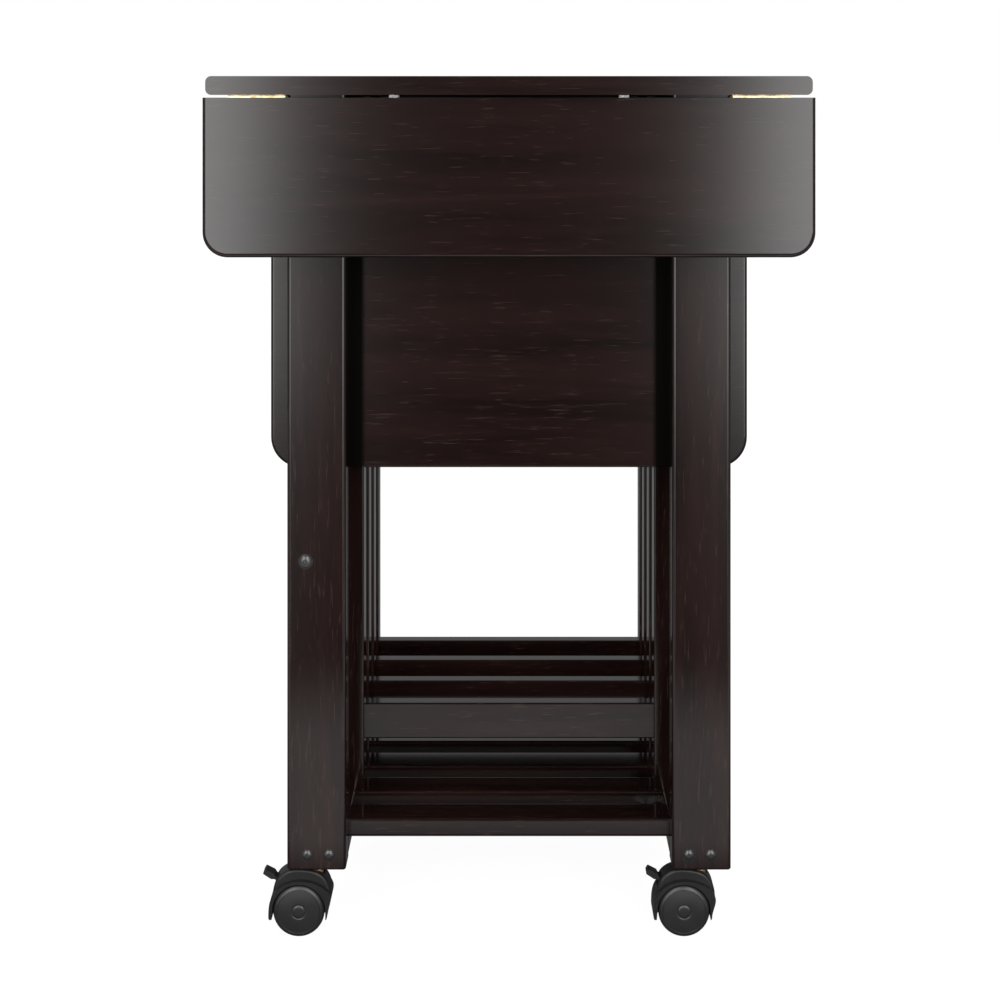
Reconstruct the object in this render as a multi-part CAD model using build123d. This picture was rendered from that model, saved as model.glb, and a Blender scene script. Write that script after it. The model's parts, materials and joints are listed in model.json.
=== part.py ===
"""Kitchen island cart with two drop leaves, a drawer, a cupboard and slatted shelves on casters.

Millimetres, +Z up, origin on the floor under the middle of the cart. -Y is the short-leaf end,
+X is the side that the drawer and the doors open to.
"""
from build123d import *
import os
from math import cos, radians, sin, sqrt

os.makedirs("parts", exist_ok=True)

# Driving dimensions: top and leaves
TOP_WIDTH = 610.0        # along X, the same for the leaves
TOP_LENGTH = 560.0       # along Y
TOP_HEIGHT = 870.0
BOARD = 19.0             # thickness of every flat board
NEAR_LEAF_LENGTH = 159.0
FAR_LEAF_LENGTH = 477.0
NEAR_CORNER = 25.0
FAR_CORNER = 39.0
TOP_EDGE_ROUND = 6.0
LEAF_GAP = 0.8           # between a raised leaf and the top

# Frame
FRAME_LENGTH = 530.0
LEG_OUTER = 224.5        # outer face of a leg from the middle plane
LEG_WIDTH = 59.5
LEG_DEPTH = 37.0
LEG_BOTTOM = 67.0
CABINET_BOTTOM = 468.0
SHELF_TOP = 106.0
RACK_TOP = 196.0
RACK_HEIGHT = 38.0
SLAT_INNER = 155.5       # inner face of the upright slats
SLAT_WIDTH = 36.0
SHELF_SLAT_WIDTH = 45.0
SHELF_SLATS = 6
EASE = 1.5               # eased arris of a board
LEG_ROUND = 3.5

# Hinges
PIN_DROP = 2.2           # hinge pin below the underside of the top
KNUCKLE_R = 1.95
PIN_R = 0.9
FIT = 0.05               # running clearance on a radius
CLEAR = 0.4              # clearance between bodies
HINGE_LENGTH = 58.0
HINGE_INNER = 224.5
HINGE_LEAF = 28.0
PLATE = 1.2
KNUCKLES = 5
SCREW_R = 1.5
SCREW_LENGTH = 14.0

# Front of the cabinet
FACE_OUTER = 222.0       # outer face of the doors and the drawer
CARCASS_HALF = 172.0     # outer face of the carcass before the front frame
DOOR_GAP = 1.0
DRAWER_FRONT_LOW = 737.0
DRAWER_FRONT_HIGH = 832.0
DIVIDER = 14.0
DRAWER_SIDE = 12.0
DRAWER_BACK_X = -150.0
KNOB_R = 14.0
KNOB_BASE = 3.0
KNOB_NECK = 9.0
KNOB_CAP = 10.0
KNOB_Y = 110.0           # of a drawer knob from the middle
PIVOT_R = 2.5
PIVOT_REACH = 10.0       # of a pivot into a door
PIVOT_ROOT = 8.0         # of a pivot into a cabinet board

# Casters
WHEEL_R = 26.0
WHEEL_IN = 4.0
WHEEL_OUT = 21.0
TRAIL = 17.8             # stem's axis ahead of the wheel's
STEM_R = 4.0
AXLE_R = 3.0
HOOD_IN = 26.8           # radius inside the arch
HOOD_HALF = 20.0
LEVER_PIVOT = (-21.0, 26.2)
LEVER_ANGLE = 150.0
LEVER_LENGTH = 18.0

TOP_UNDER = TOP_HEIGHT - BOARD
LEG_FRONT = -FRAME_LENGTH / 2
LEG_BACK = LEG_FRONT + LEG_DEPTH
LEG_INNER = LEG_OUTER - LEG_WIDTH
LEG_X = (LEG_OUTER + LEG_INNER) / 2
LEG_Y = (LEG_FRONT + LEG_BACK) / 2
PIN_Y = TOP_LENGTH / 2 + LEAF_GAP / 2
PIN_Z = TOP_UNDER - PIN_DROP
LEAF_FACE = PIN_Y + PIN_DROP               # inner face of a hanging leaf
LEAF_TOP = PIN_Z - LEAF_GAP / 2
CARCASS_Y = -LEG_BACK - BOARD              # inner face of an end panel
SLAT_PITCH = (FRAME_LENGTH - 2 * LEG_DEPTH - SHELF_SLAT_WIDTH) / (SHELF_SLATS - 1)
SLAT_YS = [(i - (SHELF_SLATS - 1) / 2) * SLAT_PITCH for i in range(SHELF_SLATS)]
RACK_YS = SLAT_YS[1:-1]
SIDES = {"left": -1, "right": 1}
ENDS = {"near": -1, "far": 1}


def block(x, y, z):
    """A box from its low and high values along each axis."""
    spans = [sorted(pair) for pair in (x, y, z)]
    middle = [(low + high) / 2 for low, high in spans]
    size = [high - low for low, high in spans]
    return Pos(*middle) * Box(*size)


def board(x, y, z, ease=EASE):
    """A board with every arris eased."""
    piece = block(x, y, z)
    return fillet(piece.edges(), ease)


def rod(start, direction, length, radius):
    """A cylinder that starts at a point and runs along a direction."""
    plane = Plane(origin=start, z_dir=direction)
    return extrude(plane * Circle(radius), amount=length)


def save(name, solids):
    """Write one node, which may be several separate solids."""
    solids = solids if isinstance(solids, list) else [solids]
    export_step(Compound(solids), f"parts/{name}.step")


def mirrored(piece, sign):
    """The same piece at the far end when sign is +1; pieces are drawn at the near end."""
    return piece if sign < 0 else mirror(piece, about=Plane.XZ)


# Hinges, drawn at the near end
def hinge_xs(side):
    """The low X of each knuckle of the hinge on one side, and a knuckle's length."""
    step = HINGE_LENGTH / KNUCKLES
    low = HINGE_INNER if side > 0 else -HINGE_INNER - HINGE_LENGTH
    return [low + i * step for i in range(KNUCKLES)], step


def screw_points(side):
    """The screws of one hinge plate: X, and the distance from the pin."""
    low = hinge_xs(side)[0][0]
    margin = HINGE_LENGTH / 6
    near_row = HINGE_LEAF * 0.4
    far_row = HINGE_LEAF * 0.75
    return [(low + margin, far_row), (low + HINGE_LENGTH / 2, near_row),
            (low + HINGE_LENGTH - margin, far_row)]


def screw(x, reach, on_top):
    """A countersunk screw in the top's plate, or in a hanging leaf's plate."""
    head = PLATE
    if on_top:
        start = (x, -PIN_Y + reach, TOP_UNDER - PLATE)
        turn = Plane(origin=start, z_dir=(0, 0, 1))
    else:
        start = (x, -LEAF_FACE + PLATE, PIN_Z - reach)
        turn = Plane(origin=start, z_dir=(0, -1, 0))
    cone = turn * Pos(0, 0, head / 2) * Cone(SCREW_R + PLATE, SCREW_R, head)
    shank = turn * Pos(0, 0, head + SCREW_LENGTH / 2) * Cylinder(SCREW_R, SCREW_LENGTH)
    return cone + shank


def screws(side, on_top):
    """The screws of one hinge plate."""
    return [screw(x, reach, on_top) for x, reach in screw_points(side)]


def hinge_half(side, on_top):
    """Plate and knuckles of one half of a hinge."""
    lows, step = hinge_xs(side)
    x_span = (lows[0], lows[0] + HINGE_LENGTH)
    if on_top:
        plate = block(x_span, (-PIN_Y, -PIN_Y + HINGE_LEAF), (TOP_UNDER - PLATE, TOP_UNDER))
    else:
        y_span = (-LEAF_FACE, -LEAF_FACE + PLATE)
        plate = block(x_span, y_span, (PIN_Z - HINGE_LEAF, PIN_Z))
    mine = 0 if on_top else 1
    for index, low in enumerate(lows):
        centre = (low, -PIN_Y, PIN_Z)
        if index % 2 == mine:
            plate += rod(centre, (1, 0, 0), step, KNUCKLE_R)
        else:
            start = (low - CLEAR / 2, -PIN_Y, PIN_Z)
            plate -= rod(start, (1, 0, 0), step + CLEAR, KNUCKLE_R + CLEAR)
    for index, low in enumerate(lows):
        if index % 2 != mine:
            gap = (low - CLEAR / 2, low + step + CLEAR / 2)
            reach = KNUCKLE_R + CLEAR
            plate -= block(gap, (-PIN_Y - reach, -PIN_Y + reach), (PIN_Z - reach, PIN_Z + reach))
    bore = rod((x_span[0], -PIN_Y, PIN_Z), (1, 0, 0), HINGE_LENGTH, PIN_R + FIT * mine)
    plate -= bore
    for fastener in screws(side, on_top):
        plate -= fastener
    return plate


def hinge_pin(side):
    """The pin of one hinge."""
    low = hinge_xs(side)[0][0]
    return rod((low, -PIN_Y, PIN_Z), (1, 0, 0), HINGE_LENGTH, PIN_R)


def drilled(piece, fasteners):
    """A piece with a hole for each fastener."""
    for fastener in fasteners:
        piece -= fastener
    return piece


TOP_SCREWS = {end: [mirrored(s, sign) for side in (-1, 1) for s in screws(side, True)]
              for end, sign in ENDS.items()}
LEAF_SCREWS = {end: [mirrored(s, sign) for side in (-1, 1) for s in screws(side, False)]
               for end, sign in ENDS.items()}


def top_board():
    """The fixed top, rounded over along its two free edges."""
    half = TOP_WIDTH / 2
    piece = block((-half, half), (-TOP_LENGTH / 2, TOP_LENGTH / 2), (TOP_UNDER, TOP_HEIGHT))
    free = piece.edges().filter_by(Axis.Y)
    piece = fillet(free, TOP_EDGE_ROUND)
    return drilled(piece, TOP_SCREWS["near"] + TOP_SCREWS["far"])


def leaf(length, corner):
    """A hanging leaf at the near end, square along the hinge, rounded elsewhere."""
    half = TOP_WIDTH / 2
    y_span = (-LEAF_FACE - BOARD, -LEAF_FACE)
    piece = block((-half, half), y_span, (LEAF_TOP - length, LEAF_TOP))
    low_corners = piece.edges().filter_by(Axis.Y).group_by(Axis.Z)[0]
    piece = fillet(low_corners, corner)
    rim = [edge for face in piece.faces().filter_by(Axis.Y) for edge in face.edges()
           if edge.center().Z < LEAF_TOP - 1]
    return fillet(rim, TOP_EDGE_ROUND * 0.7)


# Legs, rails and shelves
BOLT_Z = 82.5
BOLT_XS = (182.0, 204.0)
BOLT_R = 3.0
BOLT_HEAD_R = 6.3
BOLT_LENGTH = 62.0
TOWEL_BOLT_X = -205.8
TOWEL_BOLT_Z = 379.2
TOWEL_HEAD_R = 7.6
TOWEL_BAR_R = 9.0
RAIL_LOW = 71.0
RAIL_OUTER = 215.0
SOCKET_TOP = 99.0
STEM_LOW = 46.0
BAR_SIZE = 10.0
BAR_HEIGHT = 14.0
BAR_XS = {"near": 118.0, "far": 137.0}
BAR_LENGTHS = {"near": 200.0, "far": 330.0}
GUIDE_WALL = 6.0
GUIDE_YS = (80.0, 120.0)


def dome_bolt(x, z, head_r, length):
    """A dome-headed bolt driven through a near leg."""
    sphere_r = head_r * 1.25
    offset = sqrt(sphere_r ** 2 - head_r ** 2)
    dome = Pos(x, LEG_FRONT + offset, z) * Sphere(sphere_r)
    dome &= block((x - head_r, x + head_r), (LEG_FRONT - head_r, LEG_FRONT), (z - head_r, z + head_r))
    return dome + rod((x, LEG_FRONT, z), (0, 1, 0), length, BOLT_R)


def caster_stem(sign_x):
    """The steel stem of a near caster, with its swivel end in the hood."""
    return rod((sign_x * LEG_X, LEG_Y, STEM_LOW), (0, 0, 1), SOCKET_TOP - STEM_LOW, STEM_R)


LEG_BOLTS = {side: [dome_bolt(sign * x, BOLT_Z, BOLT_HEAD_R, BOLT_LENGTH) for x in BOLT_XS]
             for side, sign in SIDES.items()}
TOWEL_BOLT = dome_bolt(TOWEL_BOLT_X, TOWEL_BOLT_Z, TOWEL_HEAD_R, BOLT_LENGTH)


def leg(side):
    """A near leg: rounded arrises, bolt holes and a bore for the caster's stem."""
    sign = SIDES[side]
    x_span = (sign * LEG_INNER, sign * LEG_OUTER)
    piece = block(x_span, (LEG_FRONT, LEG_BACK), (LEG_BOTTOM, TOP_UNDER))
    piece = fillet(piece.edges().filter_by(Axis.Z), LEG_ROUND)
    piece = fillet(piece.faces().sort_by(Axis.Z)[0].edges(), LEG_ROUND * 0.6)
    piece = drilled(piece, LEG_BOLTS[side])
    if side == "left":
        piece -= TOWEL_BOLT
    return piece - caster_stem(sign)


def end_panel():
    """The panel behind the near legs, notched for the leaf support bars."""
    low_y = LEG_BACK
    half = CARCASS_HALF
    piece = board((-half, half), (low_y, low_y + BOARD), (CABINET_BOTTOM, TOP_UNDER))
    for x in BAR_XS.values():
        for sign in (-1, 1):
            reach = BAR_SIZE / 2 + CLEAR
            span = (sign * x - reach, sign * x + reach)
            piece -= block(span, (low_y, low_y + BOARD), (TOP_UNDER - BAR_HEIGHT - CLEAR, TOP_UNDER))
    return piece


def stepped_shelf(low, high, front):
    """A cabinet board: narrow between the end panels, wide between the legs at the front."""
    back_x = -CARCASS_HALF
    piece = block((back_x, CARCASS_HALF), (-CARCASS_Y, CARCASS_Y), (low, high))
    return piece + block((CARCASS_HALF, front), (LEG_BACK, -LEG_BACK), (low, high))


def side_slat(sign, y):
    """An upright slat from the bottom shelf to the cabinet."""
    x_span = (sign * SLAT_INNER, sign * (SLAT_INNER + BOARD))
    y_span = (y - SLAT_WIDTH / 2, y + SLAT_WIDTH / 2)
    piece = block(x_span, y_span, (SHELF_TOP, CABINET_BOTTOM))
    return fillet(piece.edges().filter_by(Axis.Z), EASE)


def rack_board(y):
    """A board on edge between a left and a right slat."""
    y_span = (y - BOARD / 2, y + BOARD / 2)
    z_span = (RACK_TOP - RACK_HEIGHT, RACK_TOP)
    piece = block((-SLAT_INNER, SLAT_INNER), y_span, z_span)
    return fillet(piece.edges().filter_by(Axis.X), EASE)


def shelf_slat(y):
    """A flat slat of the bottom shelf, with rounded-over long edges."""
    y_span = (y - SHELF_SLAT_WIDTH / 2, y + SHELF_SLAT_WIDTH / 2)
    piece = block((-LEG_INNER, LEG_INNER), y_span, (SHELF_TOP - BOARD, SHELF_TOP))
    return fillet(piece.edges().filter_by(Axis.X), EASE * 2)


def side_rail(sign):
    """The rail between two legs that carries the bottom shelf, bored for the bolts."""
    x_span = (sign * LEG_INNER, sign * RAIL_OUTER)
    piece = block(x_span, (LEG_BACK, -LEG_BACK), (RAIL_LOW, SHELF_TOP))
    piece = fillet(piece.edges().filter_by(Axis.Y), EASE)
    side = "left" if sign < 0 else "right"
    for bolt in LEG_BOLTS[side]:
        piece = piece - bolt - mirrored(bolt, 1)
    return piece


def towel_bar():
    """The round bar between the two left legs."""
    start = (TOWEL_BOLT_X, LEG_BACK, TOWEL_BOLT_Z)
    piece = rod(start, (0, 1, 0), -2 * LEG_BACK, TOWEL_BAR_R)
    return piece - TOWEL_BOLT - mirrored(TOWEL_BOLT, 1)


def support_bar(end, sign):
    """A steel bar that pulls out under a raised leaf, pushed in."""
    x = sign * BAR_XS[end]
    span = (x - BAR_SIZE / 2, x + BAR_SIZE / 2)
    low_y = LEG_BACK - BAR_SIZE
    piece = block(span, (low_y, low_y + BAR_LENGTHS[end]), (TOP_UNDER - BAR_HEIGHT, TOP_UNDER))
    return mirrored(fillet(piece.edges().filter_by(Axis.Y), 1), ENDS[end])


def bar_guide(sign, sign_y):
    """A wooden guide block under the top that two neighbouring bars run through."""
    xs = sorted(sign * x for x in BAR_XS.values())
    x_span = (xs[0] - BAR_SIZE / 2 - GUIDE_WALL, xs[1] + BAR_SIZE / 2 + GUIDE_WALL)
    y_span = (sign_y * GUIDE_YS[0], sign_y * GUIDE_YS[1])
    piece = block(x_span, y_span, (TOP_UNDER - BAR_HEIGHT - GUIDE_WALL, TOP_UNDER))
    for x in xs:
        channel = (x - BAR_SIZE / 2, x + BAR_SIZE / 2)
        piece -= block(channel, y_span, (TOP_UNDER - BAR_HEIGHT, TOP_UNDER))
    return piece


# Drawer and doors
FACE_INNER = FACE_OUTER - BOARD
OPENING_Y = -LEG_BACK - DOOR_GAP
DIVIDER_TOP = DRAWER_FRONT_LOW - 2 * EASE
DOOR_HIGH = DIVIDER_TOP - DIVIDER - DOOR_GAP
DOOR_LOW = CABINET_BOTTOM + DIVIDER + DOOR_GAP
RUNNER_HEIGHT = 4.0
DRAWER_Y = CARCASS_Y - EASE
DRAWER_LOW = DIVIDER_TOP + RUNNER_HEIGHT + CLEAR
DRAWER_HIGH = 818.0
DRAWER_FLOOR = 6.0
PIVOT_X = FACE_OUTER - BOARD / 2
PIVOT_Y = -(OPENING_Y - BOARD / 2)
STILE = 45.0
RECESS = 6.0


def knob(x, y, z):
    """A turned knob on a face that looks along +X."""
    base = rod((x, y, z), (1, 0, 0), KNOB_BASE, KNOB_R * 0.6)
    neck = rod((x + KNOB_BASE, y, z), (1, 0, 0), KNOB_NECK, KNOB_R * 0.35)
    cap = rod((x + KNOB_BASE + KNOB_NECK, y, z), (1, 0, 0), KNOB_CAP, KNOB_R)
    cap = fillet(cap.edges().filter_by(GeomType.CIRCLE), KNOB_R / 4)
    return base + neck + cap


def door():
    """The near door: a frame and a recessed panel, round along its pivot edge."""
    y_span = (-OPENING_Y, -DOOR_GAP / 2)
    piece = block((FACE_INNER, FACE_OUTER), y_span, (DOOR_LOW, DOOR_HIGH))
    pivot_edges = piece.faces().sort_by(Axis.Y)[0].edges().filter_by(Axis.Z)
    piece = fillet(pivot_edges, BOARD / 2 - 0.05)
    recess_y = (y_span[0] + STILE, y_span[1] - STILE)
    recess_z = (DOOR_LOW + STILE, DOOR_HIGH - STILE)
    piece -= block((FACE_OUTER - RECESS, FACE_OUTER), recess_y, recess_z)
    depth = PIVOT_REACH + DOOR_GAP
    low = rod((PIVOT_X, PIVOT_Y, DOOR_LOW), (0, 0, 1), depth, PIVOT_R + FIT)
    high = rod((PIVOT_X, PIVOT_Y, DOOR_HIGH), (0, 0, -1), depth, PIVOT_R + FIT)
    return piece - low - high


def door_pivots():
    """The four pivot pins: each stands in a cabinet board and reaches into a door."""
    root = DOOR_GAP + PIVOT_ROOT
    length = root + PIVOT_REACH
    low = rod((PIVOT_X, PIVOT_Y, DOOR_LOW - root), (0, 0, 1), length, PIVOT_R)
    high = rod((PIVOT_X, PIVOT_Y, DOOR_HIGH + root), (0, 0, -1), length, PIVOT_R)
    return [low, high, mirrored(low, 1), mirrored(high, 1)]


def drawer_front():
    """The drawer's front, flush with the doors, with a shallow recess."""
    y_span = (-OPENING_Y, OPENING_Y)
    z_span = (DRAWER_FRONT_LOW, DRAWER_FRONT_HIGH)
    piece = block((FACE_INNER, FACE_OUTER), y_span, z_span)
    inset = STILE * 0.5
    recess_y = (-OPENING_Y + STILE, OPENING_Y - STILE)
    recess_z = (DRAWER_FRONT_LOW + inset, DRAWER_FRONT_HIGH - inset)
    return piece - block((FACE_OUTER - RECESS, FACE_OUTER), recess_y, recess_z)


# Casters, drawn about the wheel's centre with the stem towards +X
TIP_Z = -8.8
ARCH = [(28.4, -7.0), (31.1, 5.0), (32.1, 12.0), (29.0, 19.0), (18.0, 26.5), (0.0, 29.6),
        (-21.0, 22.5), (-28.4, 12.0), (-30.6, 0.0), (-30.7, -7.0)]
DOME = [(32.1, 12.0), (30.8, 21.0), (24.0, 33.0), (12.0, 38.5), (0.0, 40.0), (-9.3, 39.0),
        (-17.0, 35.5), (-22.5, 30.5), (-26.0, 22.0), (-27.5, 14.0)]
DOME_HALF = 13.0
COLUMN_R = 6.5
COLUMN_TOP = 32.0
COLLAR_R = 5.6
SEAT_R = 8.0
WEB_HALF = 3.0
WEB_LOW = -8.0
STEM_HEADROOM = 1.0
LEVER_HALF = 7.0
LEVER_PIN_R = 1.4
LEVER_PIN_HALF = 10.2
LEVER_BOSS_R = 2.4
LEVER_NECK = 5.0
LEVER_HEEL = 8.1
LEVER_ROUND = 1.2
PADDLE_HALF = 3.1
PADDLE_TAPER = 0.6
SLOT_ALONG = (-3.4, 14.0)
SLOT_ACROSS = (-4.6, 8.0)
RIM_BEVEL = 1.0
CROWN = 1.4              # rise of a wheel's face at its middle
FACE_FLAT = 8.0
AXLE_HALF = WHEEL_OUT - 4.0


def arch_outline():
    """The arch over a wheel, widest low down and narrowing to a tip on each side."""
    inner = ThreePointArc((HOOD_IN, 0), (0, HOOD_IN), (-HOOD_IN, 0))
    right = (ARCH[0][0] - EASE / 2, TIP_Z)
    right_foot = (right[0] - EASE / 2, TIP_Z)
    left = (ARCH[-1][0] + EASE / 2, TIP_Z)
    left_foot = (-HOOD_IN - EASE / 2, TIP_Z)
    lines = [inner, Spline(*ARCH), Line(ARCH[0], right), Line(right, right_foot),
             Line(right_foot, (HOOD_IN, 0)), Line(ARCH[-1], left), Line(left, left_foot),
             Line(left_foot, (-HOOD_IN, 0))]
    return make_face(lines)


def hood_blank():
    """The caster's hood before its bores: arch, web between the wheels, dome and column."""
    side = Plane.XZ
    arch = extrude(side * arch_outline(), amount=HOOD_HALF, both=True)
    dome_face = make_face([Spline(*DOME), Line(DOME[-1], DOME[0])])
    dome = extrude(side * dome_face, amount=DOME_HALF, both=True)
    round_edges = [edge for face in dome.faces().filter_by(Axis.Y) for edge in face.edges()
                   if edge.geom_type == GeomType.BSPLINE]
    dome = fillet(round_edges, 2 * EASE)
    wheel_room = rod((0, -HOOD_HALF, 0), (0, 1, 0), 2 * HOOD_HALF, HOOD_IN)
    web = rod((0, -WEB_HALF, 0), (0, 1, 0), 2 * WEB_HALF, HOOD_IN + EASE)
    web &= block((-HOOD_HALF * 2, HOOD_HALF * 2), (-WEB_HALF, WEB_HALF), (WEB_LOW, HOOD_IN + EASE))
    column_low = HOOD_IN * 0.75
    column = rod((TRAIL, 0, column_low), (0, 0, 1), COLUMN_TOP - column_low, COLUMN_R)
    seat = rod((TRAIL, 0, COLUMN_TOP), (0, 0, 1), DOME[0][0], SEAT_R)
    return arch + (dome - wheel_room - seat) + web + (column - wheel_room)


def lever_slot():
    """The slot that the brake lever swings in."""
    x, z = LEVER_PIVOT
    half = LEVER_HALF + CLEAR
    slot = block(SLOT_ALONG, (-half, half), (-SLOT_ACROSS[1], -SLOT_ACROSS[0]))
    return Pos(x, 0, z) * Rot(0, -LEVER_ANGLE, 0) * mirror(slot, about=Plane.XY)


def hood(has_lever):
    """A caster's hood with its bores and, on a locking caster, its lever slot."""
    piece = hood_blank()
    piece -= rod((0, -HOOD_HALF, 0), (0, 1, 0), 2 * HOOD_HALF, AXLE_R + FIT)
    bore_low = STEM_LOW - WHEEL_R - STEM_HEADROOM
    piece -= rod((TRAIL, 0, bore_low), (0, 0, 1), HOOD_IN, STEM_R + FIT)
    if has_lever:
        x, z = LEVER_PIVOT
        half = LEVER_PIN_HALF + CLEAR
        piece -= lever_slot()
        piece -= rod((x, -half, z), (0, 1, 0), 2 * half, LEVER_PIN_R + FIT)
    return piece


def lever():
    """The brake lever: a boss on its pin, a narrow neck and a broad paddle."""
    x, z = LEVER_PIVOT
    boss = rod((x, -LEVER_HALF, z), (0, 1, 0), 2 * LEVER_HALF, LEVER_BOSS_R)
    pin = rod((x, -LEVER_PIN_HALF, z), (0, 1, 0), 2 * LEVER_PIN_HALF, LEVER_PIN_R)
    root = LEVER_PIN_R
    half = PADDLE_HALF
    end = PADDLE_HALF - PADDLE_TAPER
    outline = Polyline((0, -root), (LEVER_NECK, -root), (LEVER_HEEL, -half), (LEVER_LENGTH, -end),
                       (LEVER_LENGTH, end), (LEVER_HEEL, half), (LEVER_NECK, root), (0, root),
                       close=True)
    paddle = extrude(Plane.XZ * make_face(outline), amount=LEVER_HALF, both=True)
    corners = [edge for edge in paddle.edges().filter_by(Axis.Y) if edge.center().X > LEVER_NECK + EASE]
    paddle = fillet(corners, LEVER_ROUND)
    return boss + pin + Pos(x, 0, z) * Rot(0, -LEVER_ANGLE, 0) * paddle


def wheels():
    """The two discs of a twin wheel, each with a crowned outer face and a bore for the axle."""
    face_y = WHEEL_OUT + CROWN
    shoulder = (WHEEL_R - 1.8, WHEEL_OUT - 0.8)
    rise = (WHEEL_R - 6.0, WHEEL_OUT + CROWN / 2)
    tread_end = (WHEEL_R, AXLE_HALF)
    profile = make_face([Line((0, WHEEL_IN), (WHEEL_R - RIM_BEVEL, WHEEL_IN)),
                         Line((WHEEL_R - RIM_BEVEL, WHEEL_IN), (WHEEL_R, WHEEL_IN + RIM_BEVEL)),
                         Line((WHEEL_R, WHEEL_IN + RIM_BEVEL), tread_end),
                         Spline(tread_end, shoulder, rise, (FACE_FLAT, face_y)),
                         Line((FACE_FLAT, face_y), (0, face_y)),
                         Line((0, face_y), (0, WHEEL_IN))])
    disc = revolve(profile, Axis.Y)
    disc -= rod((0, 0, 0), (0, 1, 0), AXLE_HALF, AXLE_R)
    return [disc, mirror(disc, about=Plane.XZ)]


def axle():
    """The axle that both discs are pressed on."""
    return rod((0, -AXLE_HALF, 0), (0, 1, 0), 2 * AXLE_HALF, AXLE_R)


def caster_place(sign_x, sign_y):
    """Where a caster's wheel centre is."""
    return Pos(sign_x * LEG_X - TRAIL, -sign_y * LEG_Y, WHEEL_R)


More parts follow.
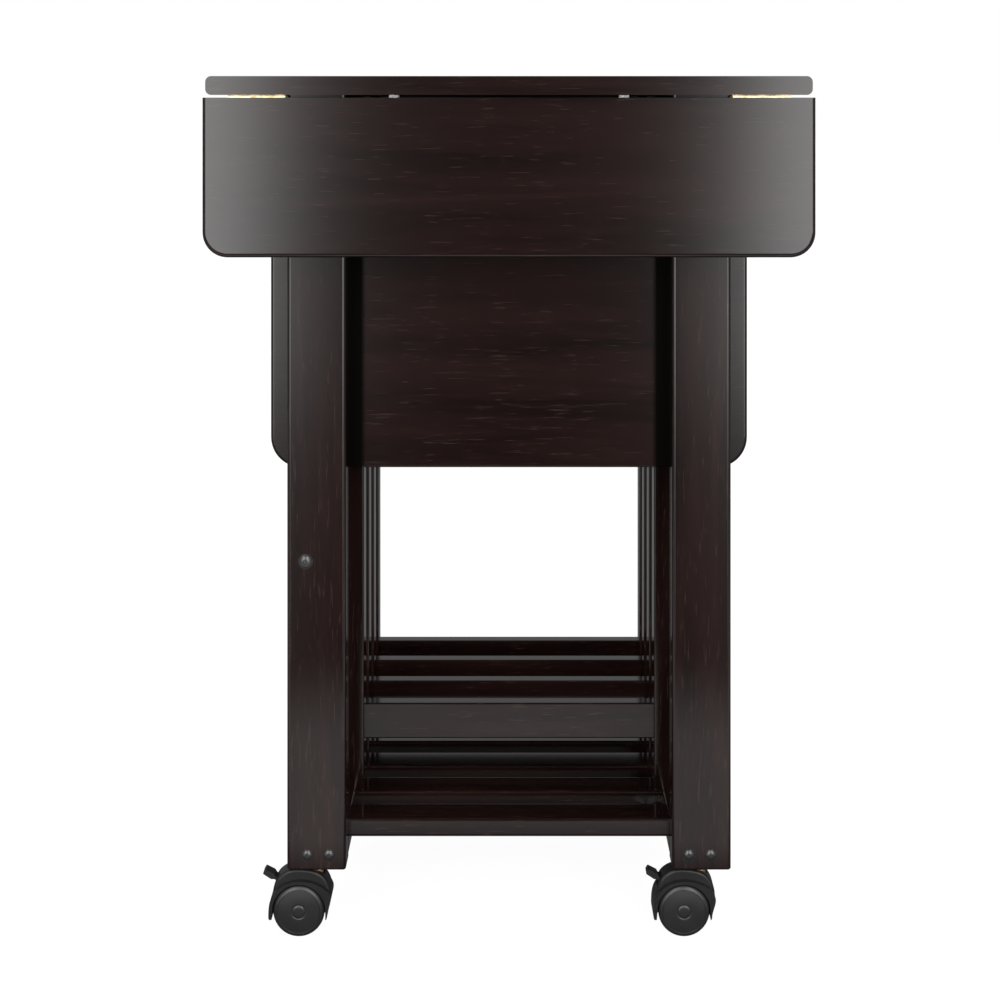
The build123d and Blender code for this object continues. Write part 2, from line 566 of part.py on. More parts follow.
def main():
    save("top_board", top_board())
    save("near_leaf", drilled(leaf(NEAR_LEAF_LENGTH, NEAR_CORNER), LEAF_SCREWS["near"]))
    far = mirrored(leaf(FAR_LEAF_LENGTH, FAR_CORNER), 1)
    save("far_leaf", drilled(far, LEAF_SCREWS["far"]))
    top_halves = [mirrored(hinge_half(side, True), sign) for sign in (-1, 1) for side in (-1, 1)]
    save("hinge_plates_top", top_halves)
    save("hinge_pins", [mirrored(hinge_pin(side), sign) for sign in (-1, 1) for side in (-1, 1)])
    save("hinge_screws_top", TOP_SCREWS["near"] + TOP_SCREWS["far"])
    for end, sign in ENDS.items():
        save(f"hinge_plates_{end}_leaf", [mirrored(hinge_half(side, False), sign) for side in (-1, 1)])
        save(f"hinge_screws_{end}_leaf", LEAF_SCREWS[end])
        save(f"end_panel_{end}", mirrored(end_panel(), sign))
        for side in SIDES:
            save(f"leg_{end}_{side}", mirrored(leg(side), sign))
    near_bolts = LEG_BOLTS["left"] + LEG_BOLTS["right"]
    save("leg_bolts", near_bolts + [mirrored(bolt, 1) for bolt in near_bolts])
    save("towel_bar_bolts", [TOWEL_BOLT, mirrored(TOWEL_BOLT, 1)])
    save("towel_bar", towel_bar())

    back_x = (-CARCASS_HALF - BOARD, -CARCASS_HALF)
    save("back_panel", board(back_x, (LEG_BACK, -LEG_BACK), (CABINET_BOTTOM, TOP_UNDER)))
    floor = stepped_shelf(CABINET_BOTTOM, CABINET_BOTTOM + DIVIDER, FACE_OUTER)
    pivots = door_pivots()
    save("cabinet_floor", drilled(floor, pivots))
    divider = stepped_shelf(DIVIDER_TOP - DIVIDER, DIVIDER_TOP, FACE_OUTER)
    save("drawer_divider", drilled(divider, pivots))
    top_rail_z = (DRAWER_FRONT_HIGH + DOOR_GAP, TOP_UNDER)
    save("front_top_rail", board((FACE_INNER, FACE_OUTER), (LEG_BACK, -LEG_BACK), top_rail_z))
    shelf_z = (DOOR_LOW + DOOR_HIGH) / 2
    shelf_x = (-CARCASS_HALF, CARCASS_HALF)
    save("cupboard_shelf", block(shelf_x, (-CARCASS_Y, CARCASS_Y), (shelf_z, shelf_z + DIVIDER)))
    save("door_pivots", pivots)

    for side, sign in SIDES.items():
        save(f"side_rail_{side}", side_rail(sign))
        save(f"side_slats_{side}", [side_slat(sign, y) for y in RACK_YS])
    save("rack_boards", [rack_board(y) for y in RACK_YS])
    save("shelf_slats", [shelf_slat(y) for y in SLAT_YS])
    bars = [support_bar(end, sign) for end in ENDS for sign in (-1, 1)]
    save("support_bars", bars)
    save("bar_guides", [bar_guide(sign, sign_y) for sign in (-1, 1) for sign_y in (-1, 1)])

    save("drawer_front", drawer_front())
    inner_y = DRAWER_Y - DRAWER_SIDE
    for end, sign in ENDS.items():
        y_span = (sign * inner_y, sign * DRAWER_Y)
        side_board = block((DRAWER_BACK_X, FACE_INNER), y_span, (DRAWER_LOW, DRAWER_HIGH))
        save(f"drawer_side_{end}", side_board)
    floor_top = DRAWER_LOW + 2 * DRAWER_FLOOR
    back_x = (DRAWER_BACK_X, DRAWER_BACK_X + DRAWER_SIDE)
    save("drawer_back", block(back_x, (-inner_y, inner_y), (floor_top, DRAWER_HIGH)))
    bottom_z = (floor_top - DRAWER_FLOOR, floor_top)
    save("drawer_bottom", block((DRAWER_BACK_X, FACE_INNER), (-inner_y, inner_y), bottom_z))
    knob_z = (DRAWER_FRONT_LOW + DRAWER_FRONT_HIGH) / 2
    save("drawer_knobs", [knob(FACE_OUTER - RECESS, y, knob_z) for y in (-KNOB_Y, KNOB_Y)])
    runner_z = (DIVIDER_TOP, DIVIDER_TOP + RUNNER_HEIGHT)
    runners = [block(shelf_x, (sign * inner_y, sign * DRAWER_Y), runner_z) for sign in (-1, 1)]
    save("drawer_runners", runners)
    for end, sign in ENDS.items():
        save(f"door_{end}", mirrored(door(), sign))
        door_knob = knob(FACE_OUTER, -STILE / 2, DOOR_HIGH - STILE * 1.5)
        save(f"door_knob_{end}", mirrored(door_knob, sign))

    stems = [mirrored(caster_stem(sign), sign_y) for sign_y in (-1, 1) for sign in (-1, 1)]
    save("caster_stems", stems)
    collars = []
    low = WHEEL_R + COLUMN_TOP + CLEAR
    for sign_y in (-1, 1):
        for sign in (-1, 1):
            collar = rod((sign * LEG_X, LEG_Y, low), (0, 0, 1), LEG_BOTTOM - low, COLLAR_R)
            collars.append(mirrored(collar - caster_stem(sign), sign_y))
    save("caster_collars", collars)
    for end, sign_y in ENDS.items():
        for side, sign in SIDES.items():
            place = caster_place(sign, sign_y)
            locking = end == "near"
            save(f"caster_hood_{end}_{side}", place * hood(locking))
            save(f"caster_wheel_{end}_{side}", [place * disc for disc in wheels()])
            save(f"caster_axle_{end}_{side}", place * axle())
            if locking:
                save(f"brake_lever_{end}_{side}", place * lever())


main()
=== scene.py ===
# %% [markdown]
# # A kitchen cart with two drop leaves
# The cart arrives as a finished frame: every board, hinge and caster is already in its place and at
# its size. This lesson gives it its finish. The hard parts are the dark stained wood, which has to
# stay dark and still show its grain, and the small black and brass fittings, which are what the eye
# checks first. Loading the frame comes before anything else, because all places are read from it.

# %% Load the frame
import json
import random
from math import cos, pi, radians, sin

import bmesh
import bpy
from mathutils import Matrix, Vector


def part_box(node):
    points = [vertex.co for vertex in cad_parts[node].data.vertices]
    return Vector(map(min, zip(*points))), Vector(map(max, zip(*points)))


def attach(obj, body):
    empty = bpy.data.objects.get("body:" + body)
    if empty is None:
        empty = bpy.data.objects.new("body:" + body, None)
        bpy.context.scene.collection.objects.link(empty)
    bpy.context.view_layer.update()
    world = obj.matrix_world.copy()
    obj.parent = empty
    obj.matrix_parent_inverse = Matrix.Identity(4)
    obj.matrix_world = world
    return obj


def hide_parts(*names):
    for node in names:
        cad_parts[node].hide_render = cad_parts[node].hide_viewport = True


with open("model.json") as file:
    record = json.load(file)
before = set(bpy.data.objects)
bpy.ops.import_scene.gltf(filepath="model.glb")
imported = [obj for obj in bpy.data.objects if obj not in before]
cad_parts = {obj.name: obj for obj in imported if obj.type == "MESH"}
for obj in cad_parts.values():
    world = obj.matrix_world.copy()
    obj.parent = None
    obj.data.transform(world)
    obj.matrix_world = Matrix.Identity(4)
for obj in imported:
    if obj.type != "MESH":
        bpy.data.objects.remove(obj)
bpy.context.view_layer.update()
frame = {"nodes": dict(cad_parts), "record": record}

# %% [markdown]
# ## A small kit for finishes
# A finish in Blender is a graph of nodes. Wiring them by hand gets long, so `knot` adds one node,
# sets its values, and joins whatever sockets it is given. `new_finish` starts a finish with its
# shader. Constant numbers go straight on the shader's own sockets, where an export can read them.

# %% Finish kit
def knot(tree, kind, values=None, **settings):
    """Add one node; a value that is a socket is joined, anything else is set."""
    made = tree.nodes.new(kind)
    for name, value in settings.items():
        setattr(made, name, value)
    for key, value in (values or {}).items():
        if isinstance(value, bpy.types.NodeSocket):
            tree.links.new(value, made.inputs[key])
        else:
            made.inputs[key].default_value = value
    return made


def new_finish(name, **shader_values):
    """A new material, its node tree and its shader, with constant values set."""
    finish = bpy.data.materials.new(name)
    finish.use_nodes = True
    tree = finish.node_tree
    shader = tree.nodes["Principled BSDF"]
    for key, value in shader_values.items():
        shader.inputs[key.replace("_", " ")].default_value = value
    return finish, tree, shader


def ramp(tree, factor, stops):
    """A colour ramp with the given (position, colour) stops."""
    made = knot(tree, "ShaderNodeValToRGB", {"Fac": factor})
    elements = made.color_ramp.elements
    while len(elements) < len(stops):
        elements.new(1.0)
    for element, (position, colour) in zip(elements, stops):
        element.position = position
        element.color = (*colour, 1.0)
    return made.outputs["Color"]


def mix_colour(tree, factor, first, second):
    """Two colours, or a colour socket and a colour, mixed by a factor."""
    made = tree.nodes.new("ShaderNodeMix")
    made.data_type = "RGBA"
    factor_in, first_in, second_in = made.inputs[0], made.inputs[6], made.inputs[7]
    tree.links.new(factor, factor_in)
    for socket, value in ((first_in, first), (second_in, second)):
        if isinstance(value, bpy.types.NodeSocket):
            tree.links.new(value, socket)
        else:
            socket.default_value = (*value, 1.0)
    return made.outputs[2]


def grey(level):
    """A grey colour."""
    return (level, level, level)


print("finish kit ready")

# %% [markdown]
# ## The dark stained wood
# The real boards are an open-pored hardwood under an espresso stain and a satin lacquer. An image
# of wood would repeat and stretch, so the grain is made from noise instead: one noise drawn out
# along the board for the slow figure, and a second, much finer one for the short pores. Each board
# gets its own shift through the noise, as if cut from another plank. Its grain runs along its longest
# side, as a joiner would lay it; a node that holds several boards names its grain itself.

# %% Espresso wood
DARK_STAIN = (0.0030, 0.0014, 0.0012)
WARM_STAIN = (0.0105, 0.0046, 0.0040)
PORE_TINT = (0.0150, 0.0080, 0.0070)
GRAIN_STRETCH = 0.06
FIGURE_SCALE = 38.0
PORE_SCALE = 620.0
FIGURE_FROM, FIGURE_TO = 0.32, 0.72
PORE_FROM, PORE_TO = 0.60, 0.70
LACQUER_ROUGHNESS = 0.10
LACQUER_IOR = 1.4
planks = random.Random(7)


def grain_space(tree, axis, size):
    """Object coordinates drawn out along the grain axis, with a shift of their own."""
    scale = [size, size, size]
    scale[axis] = size * GRAIN_STRETCH
    shift = [planks.uniform(-50, 50) for _ in range(3)]
    place = knot(tree, "ShaderNodeTexCoord").outputs["Object"]
    return knot(tree, "ShaderNodeMapping",
                {"Vector": place, "Location": shift, "Scale": scale}).outputs["Vector"]


def stained_wood(name, axis, dark=DARK_STAIN, warm=WARM_STAIN, pore=PORE_TINT, gloss=0.42):
    """Open-pored wood with its grain along one axis, under a satin lacquer."""
    finish, tree, shader = new_finish(name, Coat_Weight=1.0, Coat_Roughness=LACQUER_ROUGHNESS,
                                      Coat_IOR=LACQUER_IOR, Specular_IOR_Level=0.0)
    slow = grain_space(tree, axis, FIGURE_SCALE)
    figure = knot(tree, "ShaderNodeTexNoise",
                  {"Vector": slow, "Scale": 1.0, "Detail": 6.0, "Roughness": 0.62, "Distortion": 0.8})
    tone = ramp(tree, figure.outputs["Fac"], [(FIGURE_FROM, dark), (FIGURE_TO, warm)])
    fine = grain_space(tree, axis, PORE_SCALE)
    pores = knot(tree, "ShaderNodeTexNoise",
                 {"Vector": fine, "Scale": 1.0, "Detail": 2.0, "Roughness": 0.5})
    mask = ramp(tree, pores.outputs["Fac"], [(PORE_FROM, grey(0.0)), (PORE_TO, grey(1.0))])
    tree.links.new(mix_colour(tree, mask, tone, pore), shader.inputs["Base Color"])
    rough = knot(tree, "ShaderNodeMapRange",
                 {"Value": figure.outputs["Fac"], "To Min": gloss - 0.05, "To Max": gloss + 0.10})
    tree.links.new(rough.outputs["Result"], shader.inputs["Roughness"])
    dent = knot(tree, "ShaderNodeBump", {"Height": mask, "Strength": 0.22, "Distance": 0.0004},
                invert=True)
    tree.links.new(dent.outputs["Normal"], shader.inputs["Normal"])
    return finish


def finish_of(node, material):
    """Give a carried-over piece one finish."""
    mesh = frame["nodes"][node].data
    mesh.materials.clear()
    mesh.materials.append(material)


def long_axis(node):
    """The axis that a piece is longest along."""
    low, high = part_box(node)
    extent = [high[i] - low[i] for i in range(3)]
    return extent.index(max(extent))


slot_of = {part["node"]: part["material_slot"] for part in frame["record"]["subparts"]}
ALONG_X, ALONG_Y, ALONG_Z = 0, 1, 2
GRAIN_CHOSEN = {"side_slats_left": ALONG_Z, "side_slats_right": ALONG_Z, "shelf_slats": ALONG_X,
                "rack_boards": ALONG_X, "near_leaf": ALONG_X, "far_leaf": ALONG_X,
                "top_board": ALONG_X, "end_panel_near": ALONG_X, "end_panel_far": ALONG_X,
                "back_panel": ALONG_Y}
for node, slot in slot_of.items():
    if slot == "espresso_wood":
        finish_of(node, stained_wood(f"espresso_{node}", GRAIN_CHOSEN.get(node, long_axis(node))))
print("espresso boards:", sum(slot == "espresso_wood" for slot in slot_of.values()))

# %% [markdown]
# ## The painted leg shadows on the end panels
# An end panel sits deep between two legs, and along each leg a strip of it lies in the leg's shadow
# and looks flat black. That shadow is painted into the finish: black and nearly without lacquer, so
# the strip shows neither stain nor reflection. What makes it so dark isn't known, so the finish copies
# only the look: black and nearly without lacquer. Painting it by hand would need a mask image; the
# distance from the middle of the cart is enough of a mask, because the strips run straight up and down.

# %% Painted leg shadows
STRIP_EDGE = 0.1495
STRIP_BLUR = 0.0025
PAINTED_SHADOW_TINT = (0.0016, 0.0014, 0.0012)
PAINTED_SHADOW_COAT = 0.06


def paint_leg_shadow(material):
    """Paint the legs' shadow onto the outer strips of an end panel, black and matt."""
    tree = material.node_tree
    shader = tree.nodes["Principled BSDF"]
    place = knot(tree, "ShaderNodeTexCoord").outputs["Object"]
    across = knot(tree, "ShaderNodeSeparateXYZ", {"Vector": place}).outputs["X"]
    distance = knot(tree, "ShaderNodeMath", {0: across}, operation="ABSOLUTE").outputs[0]
    strip = knot(tree, "ShaderNodeMapRange",
                 {"Value": distance, "From Min": STRIP_EDGE - STRIP_BLUR,
                  "From Max": STRIP_EDGE + STRIP_BLUR})
    mask = strip.outputs["Result"]
    # Painted shadow: inside the strip the wood's colour goes to black and the lacquer coat nearly goes,
    # so the strip loses its reflection too.
    wood = shader.inputs["Base Color"].links[0].from_socket
    tree.links.new(mix_colour(tree, mask, wood, PAINTED_SHADOW_TINT), shader.inputs["Base Color"])
    lacquer = knot(tree, "ShaderNodeMapRange", {"Value": mask, "To Min": 1.0, "To Max": PAINTED_SHADOW_COAT})
    tree.links.new(lacquer.outputs["Result"], shader.inputs["Coat Weight"])


# Both end panels get the painted leg shadow along their outer strips.
for node in ("end_panel_near", "end_panel_far"):
    paint_leg_shadow(frame["nodes"][node].data.materials[0])
print("shaded strips from", STRIP_EDGE * 1000, "mm outwards")

# %% [markdown]
# ## The plain inner wood
# Drawer sides, runners and guides are seldom stained on such furniture. The same recipe with pale
# tones does the job, which is the benefit of keeping the tones as values of the function.

# %% Inner wood
PALE = ((0.30, 0.185, 0.10), (0.44, 0.30, 0.175), (0.22, 0.13, 0.07))
for node, slot in slot_of.items():
    if slot == "inner_wood":
        finish_of(node, stained_wood(f"inner_{node}", long_axis(node), *PALE, gloss=0.5))
print("inner boards:", sum(slot == "inner_wood" for slot in slot_of.values()))

# %% [markdown]
# ## Metals and plastics
# Small fittings look real when they aren't perfectly even. Each metal gets a cloud of slightly
# duller patches, and the moulded plastic gets the fine sparkle that a spark-eroded mould leaves.

# %% Metals and plastics
def worn_metal(name, colour, dull, rough, rough_worn, patch=260.0):
    """Metal with duller, rougher patches."""
    finish, tree, shader = new_finish(name, Metallic=1.0)
    place = knot(tree, "ShaderNodeTexCoord").outputs["Object"]
    cloud = knot(tree, "ShaderNodeTexNoise", {"Vector": place, "Scale": patch, "Detail": 4.0})
    mask = ramp(tree, cloud.outputs["Fac"], [(0.42, grey(0.0)), (0.66, grey(1.0))])
    tree.links.new(mix_colour(tree, mask, colour, dull), shader.inputs["Base Color"])
    rougher = knot(tree, "ShaderNodeMapRange", {"Value": mask, "To Min": rough, "To Max": rough_worn})
    tree.links.new(rougher.outputs["Result"], shader.inputs["Roughness"])
    return finish


def moulded_plastic(name, colour, rough, grain=2600.0, depth=0.10, sheen=0.12):
    """Black plastic with the fine texture of its mould."""
    finish, tree, shader = new_finish(name, Specular_IOR_Level=sheen)
    place = knot(tree, "ShaderNodeTexCoord").outputs["Object"]
    speck = knot(tree, "ShaderNodeTexNoise", {"Vector": place, "Scale": grain, "Detail": 2.0})
    cloud = knot(tree, "ShaderNodeTexNoise", {"Vector": place, "Scale": 45.0, "Detail": 3.0})
    lighter = tuple(channel * 1.5 for channel in colour)
    tree.links.new(mix_colour(tree, cloud.outputs["Fac"], colour, lighter), shader.inputs["Base Color"])
    scuffed = knot(tree, "ShaderNodeMapRange",
                   {"Value": cloud.outputs["Fac"], "To Min": rough - 0.06, "To Max": rough + 0.10})
    tree.links.new(scuffed.outputs["Result"], shader.inputs["Roughness"])
    dent = knot(tree, "ShaderNodeBump",
                {"Height": speck.outputs["Fac"], "Strength": depth, "Distance": 0.0002})
    tree.links.new(dent.outputs["Normal"], shader.inputs["Normal"])
    return finish


brass = worn_metal("hinge_brass", (0.80, 0.56, 0.30), (0.42, 0.26, 0.12), 0.28, 0.48)
zinc = worn_metal("plain_steel", (0.60, 0.60, 0.61), (0.38, 0.38, 0.38), 0.26, 0.42)
nickel = worn_metal("knob_metal", (0.52, 0.50, 0.47), (0.40, 0.38, 0.36), 0.24, 0.34)
bolt_coat = moulded_plastic("bolt_black", (0.008, 0.0075, 0.0075), 0.26, 900.0, 0.05, sheen=0.5)
hood_plastic = moulded_plastic("hood_plastic", (0.0062, 0.0062, 0.0066), 0.36, sheen=0.2)
wheel_plastic = moulded_plastic("wheel_plastic", (0.0085, 0.0083, 0.0085), 0.30, sheen=0.35)
plain_finishes = {"hinge_brass": brass, "plain_steel": zinc, "knob_metal": nickel,
                  "bolt_black": bolt_coat, "hood_plastic": hood_plastic,
                  "wheel_plastic": wheel_plastic}
for node, slot in slot_of.items():
    if slot in plain_finishes:
        finish_of(node, plain_finishes[slot])
print("fittings:", sum(slot in plain_finishes for slot in slot_of.values()))

# %% [markdown]
# ## Turned pieces
# Wheels, knobs and bolt heads are all round, and a lathe makes round things from one outline. So the
# lathe comes first: `turned` spins a list of (radius, height) points and gives a smooth mesh whose
# tight corners stay crisp. `stand` then moves the piece from the lathe to its place on the cart.

# %% Lathe
SPIN_STEPS = 96
CRISP_ANGLE = radians(38)


def turned(outline, steps=SPIN_STEPS):
    """A mesh made by spinning (radius, height) points about Z; an end at radius 0 is closed."""
    shape = bmesh.new()
    rings = []
    for radius, height in outline:
        if radius == 0:
            rings.append([shape.verts.new((0, 0, height))])
            continue
        angles = [2 * pi * step / steps for step in range(steps)]
        rings.append([shape.verts.new((radius * cos(a), radius * sin(a), height)) for a in angles])
    for low, high in zip(rings, rings[1:]):
        for step in range(steps):
            after = (step + 1) % steps
            corners = [low[step % len(low)], low[after % len(low)],
                       high[after % len(high)], high[step % len(high)]]
            if len(low) > 1 or len(high) > 1:
                shape.faces.new(list(dict.fromkeys(corners)))
    bmesh.ops.recalc_face_normals(shape, faces=shape.faces)
    for edge in shape.edges:
        edge.smooth = len(edge.link_faces) == 2 and edge.calc_face_angle() < CRISP_ANGLE
    for face in shape.faces:
        face.smooth = True
    return shape


def stand(shape, centre, axis):
    """Move a lathe piece so that its origin is at centre and its Z points along axis."""
    turn = Vector((0, 0, 1)).rotation_difference(Vector(axis)).to_matrix().to_4x4()
    shape.transform(Matrix.Translation(centre) @ turn)
    return shape


def piece_from(name, shapes, body, nodes, material):
    """Join lathe pieces into one object that rides on a body and stands for CAD nodes."""
    whole = bpy.data.meshes.new(name)
    joined = bmesh.new()
    for shape in shapes:
        part = bpy.data.meshes.new("part")
        shape.to_mesh(part)
        shape.free()
        joined.from_mesh(part)
        bpy.data.meshes.remove(part)
    joined.to_mesh(whole)
    joined.free()
    whole.materials.append(material)
    made = bpy.data.objects.new(name, whole)
    bpy.context.scene.collection.objects.link(made)
    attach(made, body)
    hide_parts(*nodes)
    return made


def arc(centre, radius, start, end, steps):
    """Points of a rounded corner, angles in degrees."""
    angles = [radians(start + (end - start) * step / steps) for step in range(steps + 1)]
    return [(centre[0] + radius * cos(a), centre[1] + radius * sin(a)) for a in angles]


MM = 0.001
print("lathe ready, steps:", SPIN_STEPS)

# %% [markdown]
# ## Caster wheels
# A twin caster has two moulded discs on one axle. Each has a flat tread with a shallow groove where
# the two halves of the mould met, a full round shoulder, a fine ring groove, and a gently crowned
# face with a hub cap. The tread and the crown reach exactly as far as the frame says.

# %% Caster wheels
DISC_IN = 4.0 * MM
BORE = 3.0 * MM
RIM_ROUND = 0.8 * MM
SEAM_HALF = 0.4 * MM
SEAM_DEPTH = 0.25 * MM
SHOULDER = 4.2 * MM
SHOULDER_ANGLE = 72
FACE_RISE = 1.4 * MM
FACE_STEP = 0.25 * MM
RING_INSET = 1.6 * MM
RING_HALF = 0.35 * MM
RING_DEPTH = 0.30 * MM
RING_LIP = 0.05 * MM
CROWN_STEPS = 10
CROWN_SHARE = 0.82
CROWN_SINK = 0.15 * MM
HUB_RADIUS = 7.0 * MM
HUB_GROOVE = (6.7 * MM, 0.22 * MM)
CAP_EDGE = (6.3 * MM, 0.08 * MM)
CAP_SLOPE = (4.0 * MM, 0.03 * MM)
CAP_FLAT = 2.0 * MM


def disc_outline(radius, reach):
    """One disc from the axle's bore, round the tread, to the middle of its face."""
    flat = reach - FACE_RISE - SHOULDER
    seam = (DISC_IN + flat) / 2
    outline = [(BORE, DISC_IN), (radius - RIM_ROUND, DISC_IN)]
    outline += arc((radius - RIM_ROUND, DISC_IN + RIM_ROUND), RIM_ROUND, -90, 0, 4)
    outline += [(radius, seam - SEAM_HALF), (radius - SEAM_DEPTH, seam), (radius, seam + SEAM_HALF)]
    outline += arc((radius - SHOULDER, flat), SHOULDER, 0, SHOULDER_ANGLE, 12)
    ring = outline[-1][0] - RING_INSET
    level = outline[-1][1] + FACE_STEP
    span = ring - RING_HALF
    outline += [(ring + RING_HALF, level), (ring, level - RING_DEPTH), (span, level + RING_LIP)]
    for step in range(1, CROWN_STEPS + 1):
        share = step / CROWN_STEPS
        rise = (reach - CROWN_SINK - level) * sin(share * pi / 2)
        outline.append((span + (HUB_RADIUS - span) * share, level + RING_LIP + rise * CROWN_SHARE))
    edge = outline[-1][1]
    top = edge + CAP_EDGE[1]
    outline += [(HUB_GROOVE[0], edge - HUB_GROOVE[1]), (CAP_EDGE[0], top)]
    outline += [(CAP_SLOPE[0], (top + reach) / 2 + CAP_SLOPE[1]), (CAP_FLAT, reach), (0, reach)]
    return outline


casters = [name[len("caster_hood_"):] for name in slot_of if name.startswith("caster_hood_")]
for caster in casters:
    low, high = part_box(f"caster_wheel_{caster}")
    middle = (low + high) / 2
    outline = disc_outline((high.z - low.z) / 2, (high.y - low.y) / 2)
    discs = [stand(turned(outline), middle, (0, side, 0)) for side in (-1, 1)]
    piece_from(f"twin_wheel_{caster}", discs, f"wheel_{caster}", [f"caster_wheel_{caster}"],
               wheel_plastic)
print("twin wheels:", len(casters))

# %% [markdown]
# ## Dome-headed bolts
# The bolts at the foot of each leg and the one that holds the towel bar are connector bolts: a low
# dome on a thin flange, with the six-sided socket that such bolts usually have. The socket is carved
# with a boolean that is applied at once, so no helper is left behind in the scene.

# %% Dome bolts
def carved(shape, cutter):
    """A shape with another one cut out of it."""
    objects = []
    for part in (shape, cutter):
        mesh = bpy.data.meshes.new("carving")
        part.to_mesh(mesh)
        part.free()
        objects.append(bpy.data.objects.new("carving", mesh))
        bpy.context.scene.collection.objects.link(objects[-1])
    work = objects[0].modifiers.new("cut", "BOOLEAN")
    work.object = objects[1]
    work.solver = "EXACT"
    seen_as = objects[0].evaluated_get(bpy.context.evaluated_depsgraph_get())
    result = bmesh.new()
    result.from_mesh(seen_as.to_mesh())
    seen_as.to_mesh_clear()
    for helper in objects:
        bpy.data.objects.remove(helper)
    for edge in result.edges:
        edge.smooth = len(edge.link_faces) == 2 and edge.calc_face_angle() < CRISP_ANGLE
    return result


FLANGE = 0.5 * MM
FLANGE_BEVEL = 0.15 * MM
FLANGE_SIDE = 0.6
DOME_STEPS = 8
SOCKET_SHARE = 0.40
SOCKET_FLOOR = 0.30
BOLT_SHANK = 3.0 * MM
BOLT_LENGTH = 62.0 * MM


def bolt_shape(head_radius, rise):
    """A dome head on a thin flange, above Z = 0, with its shank below."""
    dome = head_radius - FLANGE
    outline = [(0, -BOLT_LENGTH), (BOLT_SHANK, -BOLT_LENGTH), (BOLT_SHANK, 0), (head_radius, 0)]
    outline += [(head_radius, FLANGE * FLANGE_SIDE), (head_radius - FLANGE_BEVEL, FLANGE)]
    outline.append((dome, FLANGE))
    for step in range(1, DOME_STEPS + 1):
        angle = radians(90 * step / DOME_STEPS)
        across = dome * cos(angle) if step < DOME_STEPS else 0
        outline.append((across, FLANGE + (rise - FLANGE) * sin(angle)))
    socket = head_radius * SOCKET_SHARE
    floor_at = rise * SOCKET_FLOOR
    above = rise * 1.5
    cutter = turned([(0, floor_at), (socket, floor_at), (socket, above), (0, above)], 6)
    return carved(turned(outline, 48), cutter)


LEG_HEAD = 6.3 * MM
BOLT_SPACING = 22.0 * MM
ends = [(-1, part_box("leg_near_left")[0].y), (1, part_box("leg_far_left")[1].y)]
low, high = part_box("leg_bolts")
rise = abs(low.y - ends[0][1])
height = (low.z + high.z) / 2
shapes = []
for end, face in ends:
    for side in (-1, 1):
        for inward in (0.0, BOLT_SPACING):
            x = side * (high.x - LEG_HEAD - inward)
            shapes.append(stand(bolt_shape(LEG_HEAD, rise), (x, face, height), (0, end, 0)))
piece_from("connector_bolts", shapes, "frame", ["leg_bolts"], bolt_coat)
low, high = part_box("towel_bar_bolts")
towel_head = (high.x - low.x) / 2
rise = abs(low.y - ends[0][1])
shapes = [stand(bolt_shape(towel_head, rise),
                ((low.x + high.x) / 2, face, (low.z + high.z) / 2), (0, end, 0)) for end, face in ends]
piece_from("towel_bolts", shapes, "frame", ["towel_bar_bolts"], bolt_coat)
print("dome bolts:", 8 + len(ends), "rise", round(rise * 1000, 2), "mm")

# %% [markdown]
# ## Knobs
# The drawer and the doors open with small turned knobs. A good knob has a foot that covers its
# screw hole, a slim waist for the fingers, and a full round head, all from one outline.

# %% Knobs
FOOT_SHARE = 0.60
WAIST_SHARE = 0.34
FOOT_CURVE = [(0.6 * MM, 2.0 * MM), (1.8 * MM, 2.6 * MM)]
WAIST_CURVE = [(0.0, 0.30), (0.2 * MM, 0.42), (1.6 * MM, 0.52)]
HEAD_CURVE = [(0.80, 0.58), (0.95, 0.64), (1.00, 0.74), (0.97, 0.84), (0.84, 0.92), (0.62, 0.965),
              (0.34, 0.99)]


def knob_outline(radius, reach):
    """Foot, waist and head of a turned knob, from its face outwards."""
    foot = radius * FOOT_SHARE
    waist = radius * WAIST_SHARE
    outline = [(0, 0), (foot, 0), (foot, 1.2 * MM)]
    outline += [(foot - inset, height) for inset, height in FOOT_CURVE]
    outline.append((waist + 0.7 * MM, 3.8 * MM))
    outline += [(waist + more, reach * share) for more, share in WAIST_CURVE]
    outline += [(radius * wide, reach * share) for wide, share in HEAD_CURVE]
    outline.append((0, reach))
    return outline


def knob_at(x, reach, y, z, radius):
    """A knob on a face that looks along +X."""
    return stand(turned(knob_outline(radius, reach), 64), (x, y, z), (1, 0, 0))


for end in ("near", "far"):
    low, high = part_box(f"door_knob_{end}")
    radius = (high.z - low.z) / 2
    made = knob_at(low.x, high.x - low.x, (low.y + high.y) / 2, (low.z + high.z) / 2, radius)
    piece_from(f"turned_door_knob_{end}", [made], f"door_{end}", [f"door_knob_{end}"], nickel)
low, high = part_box("drawer_knobs")
radius = (high.z - low.z) / 2
pair = [knob_at(low.x, high.x - low.x, y, (low.z + high.z) / 2, radius)
        for y in (low.y + radius, high.y - radius)]
piece_from("turned_drawer_knobs", pair, "drawer", ["drawer_knobs"], nickel)
print("knobs: 4, radius", round(radius * 1000, 1), "mm")
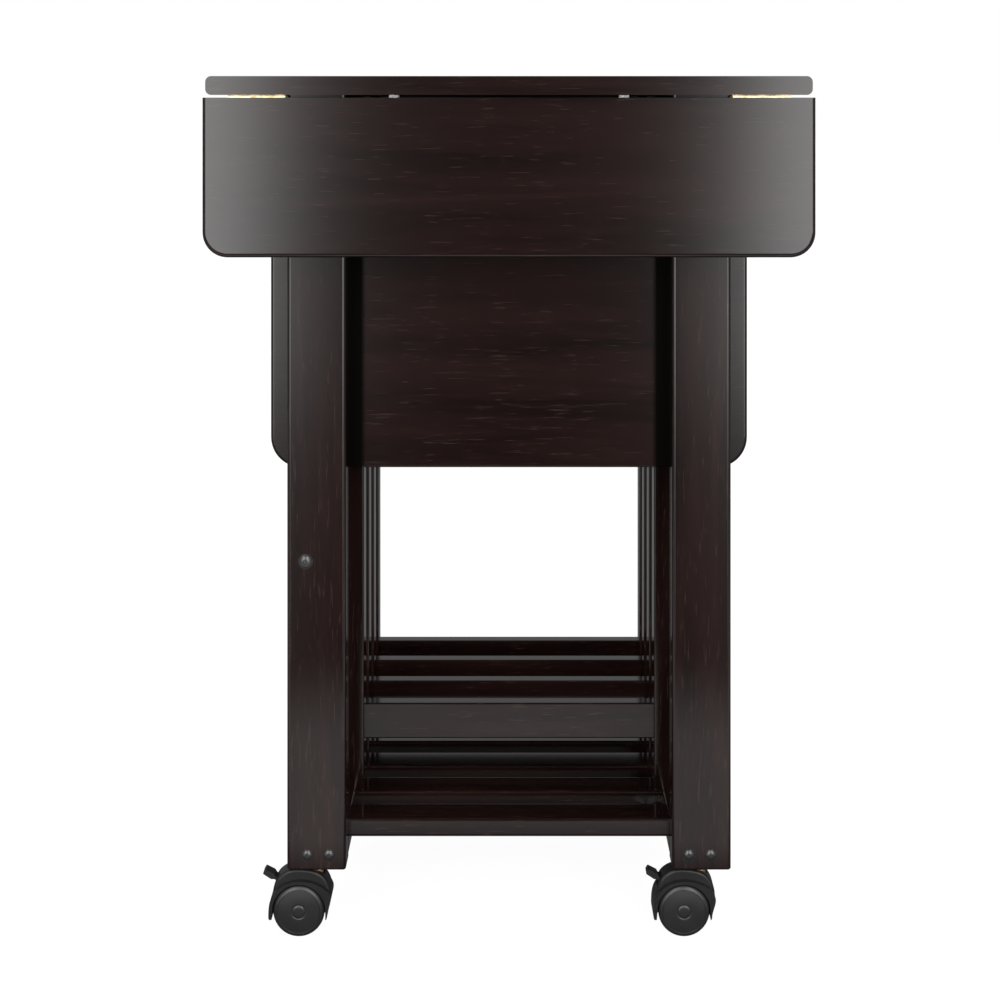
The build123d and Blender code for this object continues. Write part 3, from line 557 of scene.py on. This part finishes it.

# %% [markdown]
# ## The floor
# A pale floor keeps attention on the cart. Dark lacquer mirrors whatever lies in front of it, and a
# bright floor under the legs would wash them out. So the floor is white where it is seen directly,
# and in reflections it only glows in a band in front of the cart, a painted pool of light as under a
# studio's soft lamp; under the cart the glow drops to a painted shadow.

# %% Floor
FLOOR_HALF = 30.0
FLOOR_GREY = (0.08, 0.08, 0.08, 1.0)
WHITE = (1.0, 1.0, 1.0, 1.0)
FLOOR_GLOW = 0.95
FLOOR_FRONT = -1.25
LIT_FROM = -0.90
LIT_TO = -0.52
SHADE_FROM = -0.42
SHADE_LEVEL = 0.06
floor_mesh = bpy.data.meshes.new("floor")
corners = [(-FLOOR_HALF, FLOOR_FRONT, 0), (FLOOR_HALF, FLOOR_FRONT, 0),
           (FLOOR_HALF, FLOOR_HALF, 0), (-FLOOR_HALF, FLOOR_HALF, 0)]
floor_mesh.from_pydata(corners, [], [(0, 1, 2, 3)])
floor = bpy.data.objects.new("floor", floor_mesh)
bpy.context.scene.collection.objects.link(floor)
floor_finish, floor_tree, floor_shader = new_finish("floor", Roughness=0.9)
floor_shader.inputs["Base Color"].default_value = FLOOR_GREY
floor_shader.inputs["Specular IOR Level"].default_value = 0.0
floor_shader.inputs["Emission Color"].default_value = WHITE
floor_place = knot(floor_tree, "ShaderNodeTexCoord").outputs["Object"]
floor_y = knot(floor_tree, "ShaderNodeSeparateXYZ", {"Vector": floor_place}).outputs["Y"]
# The glow is painted light: it fades in from the floor's front edge and drops to SHADE_LEVEL under the
# cart, a painted shadow there.
fade_in = knot(floor_tree, "ShaderNodeMapRange",
               {"Value": floor_y, "From Min": FLOOR_FRONT, "From Max": LIT_FROM})
fade_out = knot(floor_tree, "ShaderNodeMapRange",
                {"Value": floor_y, "From Min": LIT_TO, "From Max": SHADE_FROM, "To Min": 1.0,
                 "To Max": SHADE_LEVEL})
patch = knot(floor_tree, "ShaderNodeMath",
             {0: fade_in.outputs["Result"], 1: fade_out.outputs["Result"]}, operation="MULTIPLY")
direct = knot(floor_tree, "ShaderNodeLightPath").outputs["Is Camera Ray"]
glow = knot(floor_tree, "ShaderNodeMix", {0: direct, 2: patch.outputs[0], 3: FLOOR_GLOW})
floor_tree.links.new(glow.outputs[0], floor_shader.inputs["Emission Strength"])
floor_mesh.materials.append(floor_finish)
print("floor laid")

# %% [markdown]
# ## The surround
# A dark glossy board is lit by what stands around it. A studio would put a tall soft screen at each
# side and leave the space behind the camera dim. The surround does the same by direction, which gives
# the screens soft edges: the brightness slides from a board's ends to its deep brown middle.

# %% Surround
SCREEN_LEVEL = 8.0
SCREEN_EDGE = [(0.0, 0.006), (0.056, 0.010), (0.072, 0.020), (0.089, 0.06), (0.104, 0.17),
               (0.121, 0.46), (0.142, 1.0), (0.40, 1.0), (0.55, 0.18), (1.0, 0.04)]
SCREEN_FOOT = [(0.25, 0.02), (0.375, 0.15), (0.41, 0.30), (0.44, 1.0), (0.80, 1.0), (0.92, 0.3)]
BACK_BRIGHT = 0.35
BACK_FROM, BACK_TO = -0.1, 0.3
world = bpy.data.worlds.new("surround")
bpy.context.scene.world = world
world.use_nodes = True
sky = world.node_tree
ray = knot(sky, "ShaderNodeTexCoord").outputs["Generated"]
split = knot(sky, "ShaderNodeSeparateXYZ", {"Vector": ray})
sideways = knot(sky, "ShaderNodeMath", {0: split.outputs["X"]}, operation="ABSOLUTE").outputs[0]
upright = knot(sky, "ShaderNodeMapRange",
               {"Value": split.outputs["Z"], "From Min": -1.0, "From Max": 1.0}).outputs["Result"]
screens = knot(sky, "ShaderNodeMath",
               {0: ramp(sky, sideways, [(at, grey(level)) for at, level in SCREEN_EDGE]),
                1: ramp(sky, upright, [(at, grey(level)) for at, level in SCREEN_FOOT])},
               operation="MULTIPLY").outputs[0]
front_level = knot(sky, "ShaderNodeMath", {0: screens, 1: SCREEN_LEVEL},
                   operation="MULTIPLY").outputs[0]
behind = knot(sky, "ShaderNodeMapRange",
              {"Value": split.outputs["Y"], "From Min": BACK_FROM, "From Max": BACK_TO})
around = knot(sky, "ShaderNodeMix", {0: behind.outputs["Result"], 2: front_level, 3: BACK_BRIGHT})
seen = knot(sky, "ShaderNodeLightPath").outputs["Is Camera Ray"]
strength = knot(sky, "ShaderNodeMix", {0: seen, 2: around.outputs[0], 3: 1.0})
background = sky.nodes["Background"]
background.inputs["Color"].default_value = WHITE
sky.links.new(strength.outputs[0], background.inputs["Strength"])
print("surround set")

# %% [markdown]
# ## One soft panel above
# The top board and the shelf need a little light from above, or their upper faces sink into black. A
# large panel hung a little behind the middle gives it without a hard shadow on the floor.

# %% Soft panel above
PANEL_PLACE = (0.0, 0.3, 2.6)
PANEL_AIM = (0.0, 0.0, 0.45)
PANEL_WIDTH = 2.4
PANEL_DEPTH = 1.6
PANEL_POWER = 16.0


def soft_panel(name, place, aim, width, height, power):
    """A soft rectangular light at a place, aimed at a point."""
    data = bpy.data.lights.new(name, "AREA")
    data.shape = "RECTANGLE"
    data.size = width
    data.size_y = height
    data.energy = power
    lamp = bpy.data.objects.new(name, data)
    lamp.location = place
    lamp.rotation_euler = (Vector(aim) - Vector(place)).to_track_quat("-Z", "Y").to_euler()
    bpy.context.scene.collection.objects.link(lamp)
    return lamp


soft_panel("panel_top", PANEL_PLACE, PANEL_AIM, PANEL_WIDTH, PANEL_DEPTH, PANEL_POWER)
print("soft panel hung")

# %% [markdown]
# ## The camera
# The eye stands level with the worktop, so the top shows as a thin edge, and it looks straight ahead,
# so the legs stay upright and parallel. A shifted lens then brings the whole cart into the frame.

# %% Camera
LEG_PLANE_Y = -0.265
EYE_DISTANCE = 2.06
EYE_HEIGHT = 0.860
SENSOR = 36.0
FRAMES_PER_METRE = 0.989
LENS = FRAMES_PER_METRE * EYE_DISTANCE * SENSOR
SIDE_SHIFT = -0.009
DOWN_SHIFT = -0.414
camera_data = bpy.data.cameras.new("eye")
camera_data.sensor_width = SENSOR
camera_data.lens = LENS
camera_data.shift_x = SIDE_SHIFT
camera_data.shift_y = DOWN_SHIFT
camera_data.clip_end = 100.0
camera = bpy.data.objects.new("eye", camera_data)
camera.location = (0.0, LEG_PLANE_Y - EYE_DISTANCE, EYE_HEIGHT)
camera.rotation_euler = (pi / 2, 0.0, 0.0)
bpy.context.scene.collection.objects.link(camera)
bpy.context.scene.camera = camera
bpy.context.scene.view_settings.view_transform = "Standard"
print("camera lens:", round(LENS, 1), "mm")
